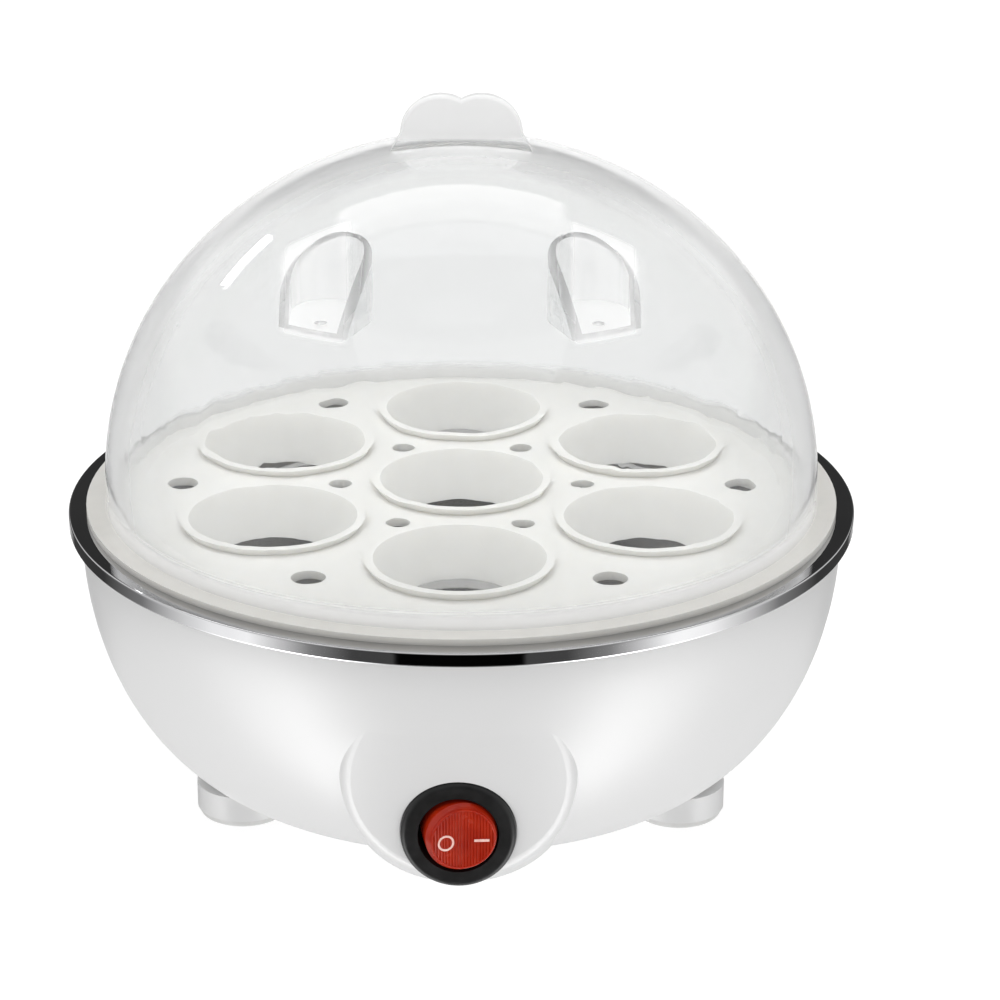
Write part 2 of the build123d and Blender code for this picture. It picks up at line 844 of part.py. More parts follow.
with BuildPart(rocker_plane) as rocker:
    Sphere(rocker_r)
    with Locations((0, 0, -rocker_back)):
        Cylinder(2 * rocker_r, rocker_r, align=(Align.CENTER, Align.CENTER, Align.MAX), mode=Mode.SUBTRACT)
    with Locations(Location((0, 0, rocker_face - rocker_dish + rocker_dish_r), (90, 0, 0))):
        Cylinder(rocker_dish_r, 4 * rocker_r, mode=Mode.SUBTRACT)
    with Locations(Rotation(90, 0, 0)):
        Cylinder(pivot_r, 2 * (rocker_r + pivot_reach))
    with Locations((0, 0, -rocker_back)):
        Cylinder(plunger_head_r + bore_gap, bore_top + rocker_back, align=LOW, mode=Mode.SUBTRACT)

with BuildPart(rocker_plane) as rocker_plunger:
    with Locations((0, 0, -rocker_back)):
        Cylinder(plunger_head_r, plunger_head, align=LOW)
    with Locations((0, 0, plunger_r - plunger_tip)):
        Cylinder(plunger_r, plunger_tip - plunger_r - rocker_back + plunger_head, align=LOW)
        Sphere(plunger_r)

with BuildPart(rocker_plane) as rocker_spring:
    with Locations((0, 0, plunger_head - rocker_back)):
        Cylinder(spring_r, spring_length, align=LOW)
        Cylinder(spring_core_r, spring_length, align=LOW, mode=Mode.SUBTRACT)

with BuildPart() as indicator_lamp:
    level(lamp_r, 0, switch_z + lamp_rise, switch_floor_y - lamp_length, switch_floor_y)
    fillet(indicator_lamp.edges().sort_by(Axis.Y)[0], lamp_r - lamp_tip)

# Cord entry, cord clamp and terminal block

with BuildPart() as cord_gland:
    level(gland_flange_r, 0, gland_z, gland_face_y, gland_face_y + gland_flange)
    fillet(cord_gland.edges().sort_by(Axis.Y)[-1], gland_round)
    level(gland_neck_r, 0, gland_z, gland_inner_y - gland_lip, gland_face_y)
    level(gland_lip_r, 0, gland_z, gland_inner_y - gland_lip, gland_inner_y)
    level(gland_bore_r, 0, gland_z, gland_inner_y - gland_lip, gland_face_y + gland_flange, Mode.SUBTRACT)

with BuildPart() as cord_clamp:
    with BuildSketch(Plane.XY.offset(clamp_top)):
        with Locations((0, clamp_y)):
            SlotOverall(2 * clamp_x + clamp_width, clamp_width)
        with Locations((-clamp_x, clamp_y), (clamp_x, clamp_y)):
            Circle(screw_r + hole_gap, mode=Mode.SUBTRACT)
    extrude(amount=clamp_t)

with BuildPart() as clamp_screws:
    for side in (-1, 1):
        screw(side * clamp_x, clamp_y, clamp_top + clamp_t, clamp_top - screw_grip + screw_tip_gap, 1)

block_hole_z = floor_z + block_hole_rise
block_top_z = floor_z + block_height
block_front_y = block_y - block_depth / 2

with BuildPart() as terminal_block:
    block(around(0, block_width / 2), around(block_y, block_depth / 2), (floor_z, block_top_z))
    for step in (-1, 0, 1):
        level(
            block_hole_r,
            step * block_pitch,
            block_hole_z,
            block_front_y - past,
            block_front_y + block_depth + past,
            Mode.SUBTRACT,
        )
        upright(
            block_screw_r,
            step * block_pitch,
            block_y,
            block_top_z - block_screw_depth,
            block_top_z + past,
            Mode.SUBTRACT,
        )

with BuildPart() as block_screws:
    for step in (-1, 0, 1):
        low = block_top_z - block_screw_depth
        upright(block_screw_r - screw_gap, step * block_pitch, block_y, low, low + block_screw_t)

# Leads: each runs from its first terminal to its last one

left_pin = element_foot(-1) - Vector(0, 0, element_pin + lead_end_gap)
right_pin = element_foot(1) - Vector(0, 0, element_pin + lead_end_gap)
sensor_end_z = blade_low_z - lead_end_gap
switch_end_y = blade_end_y + lead_end_gap
fuse_end_x = fuse_length / 2 + fuse_leg + lead_end_gap
block_end_y = block_front_y + lead_plug
lead_low_z = floor_z + lead_floor_gap

lead_routes = {
    "live_lead": [
        (-block_pitch, block_end_y, block_hole_z),
        (-block_pitch, 37, block_hole_z),
        (-22, 29, 11),
        (-28, 13, lead_low_z),
        (-26, -8, lead_low_z),
        (-17, -26, 14),
        (-blade_pitch, switch_end_y + 9, switch_z),
        (-blade_pitch, switch_end_y, switch_z),
    ],
    "switched_lead": [
        (0, switch_end_y, switch_z),
        (0, switch_end_y + 9, switch_z),
        (-6.5, -34, 17),
        (-6, -24, 11),
        (-sensor_blade_x, -sensor_y, 9.5),
        (-sensor_blade_x, -sensor_y, sensor_end_z),
    ],
    "heater_lead": [
        (sensor_blade_x, -sensor_y, sensor_end_z),
        (sensor_blade_x, -sensor_y, 9.5),
        (14, -8, lead_low_z),
        (17, 10, lead_low_z),
        (right_pin.X, right_pin.Y, lead_low_z),
        (right_pin.X, right_pin.Y, right_pin.Z),
    ],
    "fuse_lead": [
        (left_pin.X, left_pin.Y, left_pin.Z),
        (left_pin.X, left_pin.Y, lead_low_z + 0.5),
        (-16, 23, 14),
        (-20, 14, 25),
        (-fuse_end_x - 7, sensor_y, fuse_z),
        (-fuse_end_x, sensor_y, fuse_z),
    ],
    "neutral_lead": [
        (fuse_end_x, sensor_y, fuse_z),
        (fuse_end_x + 7, sensor_y, fuse_z),
        (20, 14, 25),
        (7, 24, 16),
        (0, 34, block_hole_z),
        (0, block_end_y, block_hole_z),
    ],
    "lamp_lead": [
        (blade_pitch, switch_end_y, switch_z),
        (blade_pitch, switch_end_y + 9, switch_z),
        (17, -27, 14),
        (27, -10, lead_low_z),
        (28, 10, lead_low_z),
        (24, 29, 11),
        (block_pitch, 37, block_hole_z),
        (block_pitch, block_end_y, block_hole_z),
    ],
}


def bend_radii(points):
    """The largest even bend at each corner of a route."""
    corners = [Vector(point) for point in points]
    runs = [after - before for before, after in zip(corners, corners[1:])]
    return [
        bend_share * min(one.length, two.length) / tan(radians(one.get_angle(two)) / 2)
        for one, two in zip(runs, runs[1:])
    ]


leads = {}
for name, points in lead_routes.items():
    radii = bend_radii(points)
    print(name, "bend radii", [round(radius, 1) for radius in radii])
    with BuildPart() as lead:
        with BuildLine():
            route = FilletPolyline(*points, radius=radii)
        start = Plane(route @ 0, z_dir=route % 0)
        finish = Plane(route @ 1, z_dir=-(route % 1))
        with BuildSketch(start):
            Circle(lead_r)
        sweep()
        for end, point in ((start, points[0]), (finish, points[-1])):
            if point[1] != block_end_y:
                with BuildSketch(end):
                    Circle(sleeve_r)
                extrude(amount=sleeve_length)
    leads[name] = lead

# Each piece goes to its own file

pieces = {
    "lid": lid,
    "egg_rack": egg_rack,
    "heating_tray": heating_tray,
    "tray_gasket": tray_gasket,
    "bowl_housing": bowl_housing,
    "bottom_cover": bottom_cover,
    "cover_screws": cover_screws,
    **foot_pads,
    "heat_spreader": heat_spreader,
    "heating_element": heating_element,
    "element_pins": element_pins,
    "element_beads": element_beads,
    "tray_stud": tray_stud,
    "hold_down_strap": hold_down_strap,
    "strap_screws": strap_screws,
    "stud_washer": stud_washer,
    "stud_nut": stud_nut,
    "thermostat_cap": thermostat_cap,
    "thermostat_body": thermostat_body,
    "thermostat_terminals": thermostat_terminals,
    "thermostat_bracket": thermostat_bracket,
    "bracket_screws": bracket_screws,
    "thermal_fuse": thermal_fuse,
    "fuse_clip": fuse_clip,
    "clip_screw": clip_screw,
    "switch_body": switch_body,
    "switch_terminals": switch_terminals,
    "contact_lever": contact_lever,
    "rocker": rocker,
    "rocker_plunger": rocker_plunger,
    "rocker_spring": rocker_spring,
    "indicator_lamp": indicator_lamp,
    "cord_gland": cord_gland,
    "cord_clamp": cord_clamp,
    "clamp_screws": clamp_screws,
    "terminal_block": terminal_block,
    "block_screws": block_screws,
    **leads,
}

os.makedirs("parts", exist_ok=True)
for name, piece in pieces.items():
    piece.part.label = name
    export_step(piece.part, f"parts/{name}.step")
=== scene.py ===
import json
from math import cos, hypot, pi, radians, sin
import bpy
import bmesh
from mathutils import Matrix, Vector


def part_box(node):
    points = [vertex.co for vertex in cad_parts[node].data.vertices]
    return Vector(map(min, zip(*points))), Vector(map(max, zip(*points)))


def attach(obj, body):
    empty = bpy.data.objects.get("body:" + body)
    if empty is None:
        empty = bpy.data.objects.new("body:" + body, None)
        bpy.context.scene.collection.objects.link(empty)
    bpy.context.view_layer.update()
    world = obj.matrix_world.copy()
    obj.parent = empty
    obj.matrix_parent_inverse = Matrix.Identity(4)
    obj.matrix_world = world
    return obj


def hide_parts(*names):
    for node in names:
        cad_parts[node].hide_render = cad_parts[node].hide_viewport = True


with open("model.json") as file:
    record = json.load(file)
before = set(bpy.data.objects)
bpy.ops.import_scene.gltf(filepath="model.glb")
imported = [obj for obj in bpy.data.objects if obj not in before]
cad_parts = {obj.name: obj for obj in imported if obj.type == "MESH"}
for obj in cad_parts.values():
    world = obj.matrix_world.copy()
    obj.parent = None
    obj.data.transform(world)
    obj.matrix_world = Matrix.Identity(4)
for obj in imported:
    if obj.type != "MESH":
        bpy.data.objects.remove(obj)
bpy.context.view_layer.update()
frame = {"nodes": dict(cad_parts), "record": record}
nodes = frame["nodes"]

# Egg steamer with a clear dome: metres, +Z up, the switch faces -Y

MM = 0.001

# The photograph's view of the tray's ring
VIEW_DISTANCE = 0.700
VIEW_RISE = radians(21.2)
VIEW_TURN = radians(0.44)
VIEW_LENS = 117.1
VIEW_SHIFT = (0.0386, -0.0047)
VIEW_NEAR = 0.01

# The studio's greys for reflections, by the turn from the front, 0, to the back, 1
RIM_BAND = (
    (0.0, 0.002), (0.1, 0.002), (0.105, 0.085), (0.17, 0.09), (0.24, 0.35), (0.35, 1.6), (0.42, 1.5),
    (0.58, 0.3), (0.7, 0.06), (0.86, 0.055), (0.95, 0.9),
)
LOW_BAND = (
    (0.0, 0.2), (0.13, 0.3), (0.2, 2.4), (0.29, 8.0), (0.37, 5.3), (0.5, 1.2), (0.65, 0.8), (1.0, 0.6),
)
HIGH_BAND = (
    (0.0, 0.3), (0.2, 0.5), (0.42, 1.0), (0.82, 0.9), (0.9, 0.06), (1.0, 0.035),
)
SKY_LIGHT = 0.9

# Where each of them takes over from the one below, in degrees over the horizon
RIM_RISE = (-30, -26)
HIGH_RISE = (2, 13)
SKY_RISE = (30, 40)

# Where the dark that mirrors see through the lid begins and ends, in degrees over the horizon
BEHIND_FOOT = (2, 8)
BEHIND_HEAD = (30, 36.87)

# Plain lights and the floor
FILL_LIGHT = 0.62
BACKDROP = 1.0
FLOOR_GLOW = 0.75
FLOOR_SIZE = 8.0
OVERHEAD_PLACE = (0, -0.1, 1.6)
OVERHEAD_SIZE = 1.8
OVERHEAD_POWER = 16

# A soft light high behind, by its slopes from upright, and a slanted strip at the left
LENS_PLACE = (-0.059, 0.72)
LENS_REACH = (0.52, 0.26)
LENS_EDGE = 0.06
LENS_FOOT = (0.05, 0.1)
LENS_LIGHT = 2.4
STRIP_ENDS = ((-0.923, 0.747, 0.629), (-0.709, 0.875, 0.75))
STRIP_AIM = (0, 0, 0.1)
STRIP_WIDTH = 0.05
STRIP_POWER = 0.9

# The lid's milky places, in metres, and how milky they are
COMB_FOOT = 0.1425
COMB_EDGE = 0.001
COMB_MILK = 0.7
LID_FOOT = 0.0665
LID_EDGE = 0.002
VENT_X = (0.023, 0.034)
VENT_Y = (-0.053, -0.029)
VENT_EDGE = 0.003
VENT_FOOT = 0.1155
VENT_FADE = 0.001
VENT_MILK = 0.25
MILK_PALENESS = 4.0

# The lid's clearness and paleness, by how far it is seen edge on
CLEAR_BETWEEN = (0.35, 1.0)
CLEAR_SHARES = (0.97, 0.35)
PALE_BETWEEN = (0.5, 0.95)

# The egg rack's bare rim round the lid, in metres, and the weight of the painted shade that darkens the
# rim against the lighter deck under the lid
RACK_RIM = (0.0755, 0.0765)
RIM_PAINTED_SHADE_SHARE = 0.75

# The tray's section from its middle along the top and back below, and its rounded corners
TRAY_SECTION = (
    (0, 41), (70, 41), (75.6, 63), (77.5, 63), (83.5, 63), (84, 63), (84, 62.5), (84, 60.45), (84, 60.2),
    (83.2, 60.2), (83.2, 62.2), (76.2, 62.2), (70.6, 40.2), (0, 40.2),
)
TRAY_BENDS = ((70, 41, 7.0, 8), (75.6, 63, 1.5, 5), (84, 63, 0.3, 4), (84, 60.2, 0.15, 2))
TRAY_STEPS = 192

# The rocker in its own plane, in millimetres: radius from its middle and height over its pivot
ROCKER_TILT = radians(11)
ROCKER_PROFILE = (
    (0, 1.7), (1.6, 1.7), (1.6, -3.0), (2.5, -3.0), (2.5, 2.8), (6.3, 2.8), (6.3, -2.8), (6.5, -3.0),
    (6.95, -3.0), (7.3, -2.5), (7.3, 3.4), (7.26, 3.56), (7.14, 3.68), (6.66, 4.76), (6.6, 4.8),
    (6.54, 4.82), (6.51, 4.9), (6.48, 5.18), (6.43, 5.26), (6.35, 5.3), (6.22, 5.3), (6.14, 5.24),
    (6.1, 5.14),
)
ROCKER_STEPS = 128
RIB_PITCH = 0.62
GROOVE_HALF = 0.15
GROOVE_DEPTH = 0.18
DISH_CURVE = 60.0
DISH_DROP = 0.26
DISH_FOOT = 3.5
DISH_HEAD = 5.1

# The rocker's two marks, in millimetres
MARK_HEIGHT = 0.16
MARK_SINK = 0.08
MARK_EDGE = 0.05
RING_PLACE = (-3.45, -0.5)
RING_OUTER = 1.7
RING_STROKE = 0.42
RING_STEPS = 64
BAR_PLACE = (3.75, -0.5)
BAR_LENGTH = 3.0
BAR_WIDTH = 0.55

# How near a picked point lies to a ring, a level or a line, in millimetres
RING_SLACK = 0.05
LEVEL_SLACK = 0.01
LINE_SLACK = 0.001

# How near two points are that become one, and a cut to a point that it meets, in metres
MERGE_GAP = 1e-6
CUT_GAP = 1e-7

# The steepest edge that is shaded smooth
SMOOTH_ANGLE = radians(30)

# The values that a cloudy pattern mostly keeps to
CLOUD_SPAN = (0.3, 0.7)

# Metals: dark and light shade, roughness and fineness of the mottling
PLATED = {
    "zinc_steel": ((0.5, 0.5, 0.48), (0.66, 0.66, 0.63), 0.3, 300),
    "spreader_aluminium": ((0.62, 0.62, 0.63), (0.75, 0.75, 0.76), 0.38, 180),
    "element_steel": ((0.22, 0.2, 0.18), (0.36, 0.34, 0.32), 0.35, 120),
    "brass": ((0.68, 0.5, 0.22), (0.8, 0.62, 0.32), 0.28, 300),
}

# Plastic, ceramic and insulation: the same values, and the depth of the texture in metres
MOULDED = {
    "bead_ceramic": ((0.78, 0.76, 0.7), (0.88, 0.86, 0.8), 0.55, 500, 0.00003),
    "phenolic": ((0.1, 0.06, 0.04), (0.17, 0.105, 0.07), 0.4, 260, 0.00002),
    "white_plastic": ((0.82, 0.82, 0.8), (0.88, 0.88, 0.86), 0.35, 400, 0.00001),
    "live_insulation": ((0.2, 0.1, 0.05), (0.28, 0.15, 0.08), 0.45, 300, 0.00001),
    "neutral_insulation": ((0.05, 0.12, 0.36), (0.08, 0.17, 0.45), 0.45, 300, 0.00001),
    "grey_insulation": ((0.66, 0.66, 0.63), (0.8, 0.8, 0.77), 0.6, 900, 0.00004),
}


# Arithmetic on nodes

# The Mix node's sockets for plain numbers: the share and the two ends
MIX_SOCKETS = (0, 2, 3)


def feed(tree, socket, value):
    """Gives a socket a number or what another socket puts out."""
    if isinstance(value, (int, float)):
        socket.default_value = value
    else:
        tree.links.new(value, socket)


def sum_of(tree, operation, one, two=0.0):
    """One step of arithmetic on two sockets or numbers."""
    made = tree.nodes.new("ShaderNodeMath")
    made.operation = operation
    feed(tree, made.inputs[0], one)
    feed(tree, made.inputs[1], two)
    return made.outputs["Value"]


def times(tree, one, *others):
    """The product of sockets or numbers."""
    for other in others:
        one = sum_of(tree, "MULTIPLY", one, other)
    return one


def rest_of(tree, share):
    """What a share leaves of 1."""
    return sum_of(tree, "SUBTRACT", 1.0, share)


def mix_of(tree, share, one, two):
    """Between two greys by a share."""
    made = tree.nodes.new("ShaderNodeMix")
    for place, value in zip(MIX_SOCKETS, (share, one, two)):
        feed(tree, made.inputs[place], value)
    return made.outputs["Result"]


def spread(tree, value, between, ends, curve="LINEAR"):
    """Carries a value from one span to another and holds it at the ends."""
    made = tree.nodes.new("ShaderNodeMapRange")
    made.interpolation_type = curve
    names = ("Value", "From Min", "From Max", "To Min", "To Max")
    for name, given in zip(names, (value, *between, *ends)):
        feed(tree, made.inputs[name], given)
    return made.outputs["Result"]


def fade(tree, value, start, end):
    """0 before one value and 1 after another, smooth between them."""
    return spread(tree, value, (start, end), (0.0, 1.0), "SMOOTHSTEP")


def within(tree, value, low, high, edge):
    """1 between two values and 0 away from them, with soft edges."""
    begun = fade(tree, value, low - edge, low)
    return sum_of(tree, "SUBTRACT", begun, fade(tree, value, high, high + edge))


def axes_of(tree, space="Object"):
    """The X, Y and Z of a point in the piece's own space, or of a direction in the world's."""
    place = tree.nodes.new("ShaderNodeTexCoord")
    axes = tree.nodes.new("ShaderNodeSeparateXYZ")
    tree.links.new(place.outputs[space], axes.inputs["Vector"])
    return axes.outputs


def from_axis(tree):
    """The distance from the upright axis, in the piece's own space."""
    axes = axes_of(tree)
    squares = [times(tree, axes[axis], axes[axis]) for axis in "XY"]
    return sum_of(tree, "POWER", sum_of(tree, "ADD", *squares), 0.5)


# Finishes


def shader_of(material):
    """The shader that a finish is made of."""
    return material.node_tree.nodes["Principled BSDF"]


def set_values(material, **values):
    """Even values on the shader's sockets, named with underscores for spaces."""
    for name, value in values.items():
        shader_of(material).inputs[name.replace("_", " ")].default_value = value


def new_finish(name, colour, roughness, metallic=0.0):
    """A finish with one shader, its even values on the shader's own sockets."""
    material = bpy.data.materials.new(name)
    material.use_nodes = True
    set_values(material, Base_Color=(*colour, 1), Roughness=roughness, Metallic=metallic)
    return material


def grain(material, scale, detail):
    """A cloudy pattern in the piece's own space, finer with a larger scale."""
    tree = material.node_tree
    place = tree.nodes.new("ShaderNodeTexCoord")
    noise = tree.nodes.new("ShaderNodeTexNoise")
    noise.inputs["Scale"].default_value = scale
    noise.inputs["Detail"].default_value = detail
    tree.links.new(place.outputs["Object"], noise.inputs["Vector"])
    return noise.outputs["Fac"]


def lathe_lines(material, scale):
    """Fine rings about the upright axis, as a polishing wheel leaves them."""
    tree = material.node_tree
    place = tree.nodes.new("ShaderNodeTexCoord")
    wave = tree.nodes.new("ShaderNodeTexWave")
    wave.wave_type = "RINGS"
    wave.rings_direction = "Z"
    wave.inputs["Scale"].default_value = scale
    wave.inputs["Distortion"].default_value = 1.5
    wave.inputs["Detail"].default_value = 2.0
    tree.links.new(place.outputs["Object"], wave.inputs["Vector"])
    return wave.outputs["Fac"]


def tint(material, pattern, low, high, between=CLOUD_SPAN):
    """The colour follows a pattern from one shade to another."""
    tree = material.node_tree
    ramp = tree.nodes.new("ShaderNodeValToRGB")
    for stop, place, colour in zip(ramp.color_ramp.elements, between, (low, high)):
        stop.position = place
        stop.color = (*colour, 1)
    tree.links.new(pattern, ramp.inputs["Fac"])
    tree.links.new(ramp.outputs["Color"], shader_of(material).inputs["Base Color"])


def polish(material, pattern, low, high):
    """The roughness follows a pattern between two values."""
    tree = material.node_tree
    rough = spread(tree, pattern, CLOUD_SPAN, (low, high))
    tree.links.new(rough, shader_of(material).inputs["Roughness"])


def relief(material, pattern, depth, strength):
    """The surface rises and falls with a pattern by a depth in metres."""
    tree = material.node_tree
    bump = tree.nodes.new("ShaderNodeBump")
    bump.inputs["Strength"].default_value = strength
    bump.inputs["Distance"].default_value = depth
    tree.links.new(pattern, bump.inputs["Height"])
    tree.links.new(bump.outputs["Normal"], shader_of(material).inputs["Normal"])


def white_shell():
    """Glossy white moulded plastic with a faint orange peel."""
    material = new_finish("white_shell", (0.75, 0.75, 0.75), 0.28)
    set_values(material, IOR=1.49)
    clouds = grain(material, 22, 3)
    tint(material, clouds, (0.745, 0.745, 0.743), (0.756, 0.756, 0.756))
    polish(material, clouds, 0.285, 0.305)
    relief(material, grain(material, 700, 1), 0.000001, 0.3)
    return material


def milky_places(tree):
    """How milky the lid is moulded: its comb, its foot and the walls of its two vent recesses."""
    axes = axes_of(tree)
    comb = fade(tree, axes["Z"], COMB_FOOT - COMB_EDGE, COMB_FOOT)
    base = rest_of(tree, fade(tree, axes["Z"], LID_FOOT, LID_FOOT + LID_EDGE))
    vent = times(
        tree,
        within(tree, sum_of(tree, "ABSOLUTE", axes["X"]), *VENT_X, VENT_EDGE),
        within(tree, axes["Y"], *VENT_Y, VENT_EDGE),
        fade(tree, axes["Z"], VENT_FOOT - VENT_FADE, VENT_FOOT),
    )
    milk = times(tree, sum_of(tree, "ADD", comb, base), COMB_MILK)
    return sum_of(tree, "ADD", milk, times(tree, vent, VENT_MILK))


def let_lamps_through(material):
    """Casts only a faint shadow, so that lamps light what is below."""
    tree = material.node_tree
    path = tree.nodes.new("ShaderNodeLightPath")
    clear = tree.nodes.new("ShaderNodeBsdfTransparent")
    mix = tree.nodes.new("ShaderNodeMixShader")
    clear.inputs["Color"].default_value = (0.93, 0.935, 0.935, 1)
    tree.links.new(path.outputs["Is Shadow Ray"], mix.inputs["Fac"])
    tree.links.new(shader_of(material).outputs["BSDF"], mix.inputs[1])
    tree.links.new(clear.outputs["BSDF"], mix.inputs[2])
    tree.links.new(mix.outputs["Shader"], tree.nodes["Material Output"].inputs["Surface"])


def clear_lid():
    """Clear moulded plastic with a trace of haze, milky in places and paler edge on."""
    material = new_finish("clear_lid", (0.9, 0.905, 0.905), 0.0)
    set_values(material, IOR=1.38)
    polish(material, grain(material, 30, 3), 0.0, 0.03)
    tree = material.node_tree
    weight = tree.nodes.new("ShaderNodeLayerWeight")
    weight.inputs["Blend"].default_value = 0.5
    edge_on = weight.outputs["Facing"]
    milk = milky_places(tree)
    pale = sum_of(tree, "MAXIMUM", edge_on, times(tree, milk, MILK_PALENESS))
    tint(material, pale, (0.845, 0.85, 0.85), (0.99, 0.99, 0.99), PALE_BETWEEN)
    clear = times(tree, rest_of(tree, milk), spread(tree, edge_on, CLEAR_BETWEEN, CLEAR_SHARES))
    tree.links.new(clear, shader_of(material).inputs["Transmission Weight"])
    let_lamps_through(material)
    return material


def rack_plastic():
    """Milky ivory plastic that light gets a little way into, with painted shade darkening its bare rim and
    the deck under the lid painted lighter.
    """
    material = new_finish("rack_plastic", (0.77, 0.76, 0.73), 0.32)
    set_values(material, IOR=1.49, Subsurface_Weight=0.35)
    set_values(material, Subsurface_Scale=0.004, Subsurface_Radius=(1, 0.95, 0.85))
    clouds = grain(material, 260, 3)
    tree = material.node_tree
    # Painted shade: the bare rim round the lid is coloured darker and the deck under the lid lighter, for
    # how light falls on them
    painted_light_under_lid = rest_of(tree, fade(tree, from_axis(tree), *RACK_RIM))
    mottled = times(tree, clouds, 1 - RIM_PAINTED_SHADE_SHARE)
    shade = sum_of(tree, "ADD", mottled, times(tree, painted_light_under_lid, RIM_PAINTED_SHADE_SHARE))
    # The dark end is the rim's painted shade, the light end the painted light on the deck under the lid
    tint(material, shade, (0.6, 0.588, 0.557), (0.87, 0.858, 0.825), (0.0, 1.0))
    polish(material, clouds, 0.3, 0.36)
    return material


def polished_steel():
    """Spun and polished stainless steel."""
    material = new_finish("polished_steel", (0.56, 0.56, 0.57), 0.04, 1.0)
    tint(material, grain(material, 40, 3), (0.52, 0.52, 0.53), (0.6, 0.6, 0.605))
    polish(material, lathe_lines(material, 900), 0.02, 0.05)
    return material


def silicone():
    """Soft translucent silicone with a dusty surface."""
    material = new_finish("silicone", (0.8, 0.79, 0.76), 0.5)
    clouds = grain(material, 200, 3)
    tint(material, clouds, (0.76, 0.75, 0.72), (0.84, 0.83, 0.8))
    polish(material, clouds, 0.45, 0.6)
    return material


def foot_rubber():
    """Pale matt rubber."""
    material = new_finish("foot_rubber", (0.7, 0.7, 0.69), 0.7)
    clouds = grain(material, 350, 4)
    tint(material, clouds, (0.64, 0.64, 0.63), (0.74, 0.74, 0.73))
    polish(material, clouds, 0.6, 0.8)
    relief(material, clouds, 0.00003, 0.6)
    return material


def plated(name, low, high, rough, scale):
    """A plated or bare metal with a lightly mottled surface."""
    material = new_finish(name, high, rough, 1.0)
    clouds = grain(material, scale, 4)
    tint(material, clouds, low, high)
    polish(material, clouds, rough * 0.8, rough * 1.25)
    relief(material, clouds, 0.00001, 0.4)
    return material


def moulded(name, low, high, rough, scale, depth):
    """An opaque moulded plastic, ceramic or insulation with a fine texture."""
    material = new_finish(name, high, rough)
    clouds = grain(material, scale, 3)
    tint(material, clouds, low, high)
    polish(material, clouds, rough * 0.85, rough * 1.2)
    relief(material, clouds, depth, 0.6)
    return material


def black_plastic():
    """Satin black switch plastic."""
    material = new_finish("black_plastic", (0.012, 0.012, 0.012), 0.38)
    set_values(material, Specular_IOR_Level=0.3)
    clouds = grain(material, 500, 3)
    tint(material, clouds, (0.009, 0.009, 0.009), (0.014, 0.014, 0.0145))
    polish(material, clouds, 0.35, 0.42)
    return material


def red_rocker():
    """Red plastic that light gets a little way into."""
    material = new_finish("red_rocker", (0.42, 0.02, 0.004), 0.22)
    set_values(material, IOR=1.49, Specular_IOR_Level=0.3, Subsurface_Weight=0.25, Subsurface_Scale=0.003)
    clouds = grain(material, 260, 3)
    tint(material, clouds, (0.36, 0.014, 0.003), (0.48, 0.026, 0.005))
    polish(material, clouds, 0.18, 0.28)
    return material


def mark_paint():
    """Pale pink paint of the switch marks."""
    material = new_finish("mark_paint", (0.95, 0.62, 0.55), 0.4)
    clouds = grain(material, 900, 3)
    tint(material, clouds, (0.9, 0.5, 0.44), (0.98, 0.7, 0.63))
    polish(material, clouds, 0.3, 0.5)
    return material


def lamp_glass():
    """The small bulb's clear glass."""
    material = new_finish("lamp_glass", (0.95, 0.8, 0.7), 0.03)
    set_values(material, Transmission_Weight=0.9, IOR=1.5)
    polish(material, grain(material, 400, 2), 0.02, 0.08)
    return material


finishes = {
    "clear_lid": clear_lid(),
    "rack_plastic": rack_plastic(),
    "polished_steel": polished_steel(),
    "white_shell": white_shell(),
    "silicone": silicone(),
    "foot_rubber": foot_rubber(),
    "black_plastic": black_plastic(),
    "red_rocker": red_rocker(),
    "mark_paint": mark_paint(),
    "lamp_glass": lamp_glass(),
}
finishes.update({name: plated(name, *values) for name, values in PLATED.items()})
finishes.update({name: moulded(name, *values) for name, values in MOULDED.items()})

# Every piece of the model takes the finish of its slot
for part in frame["record"]["subparts"]:
    mesh = nodes[part["node"]].data
    mesh.materials.clear()
    mesh.materials.append(finishes[part["material_slot"]])


# Pieces modelled over the solids


def new_piece(name):
    """A new mesh that holds one point at the origin, open in edit mode."""
    bpy.ops.object.select_all(action="DESELECT")
    bpy.ops.mesh.primitive_plane_add(size=MM)
    piece = bpy.context.object
    piece.name = name
    bpy.ops.object.mode_set(mode="EDIT")
    bpy.ops.mesh.select_mode(type="VERT")
    bpy.ops.mesh.select_all(action="SELECT")
    bpy.ops.mesh.merge(type="CENTER")
    return piece


def turn_profile(profile, steps):
    """Draws a profile from the one selected point and spins it about Z."""
    at = Vector((0, 0, 0))
    for count, (radius, height) in enumerate(profile):
        step = Vector((radius, 0, height)) * MM - at
        if count:
            bpy.ops.mesh.extrude_region_move(TRANSFORM_OT_translate={"value": step})
        else:
            bpy.ops.transform.translate(value=step)
        at = at + step
    bpy.ops.mesh.select_all(action="SELECT")
    bpy.ops.mesh.spin(steps=steps, angle=2 * pi, center=(0, 0, 0), axis=(0, 0, 1))
    bpy.ops.mesh.select_all(action="SELECT")
    bpy.ops.mesh.remove_doubles(threshold=MERGE_GAP)
    bpy.ops.mesh.normals_make_consistent(inside=False)


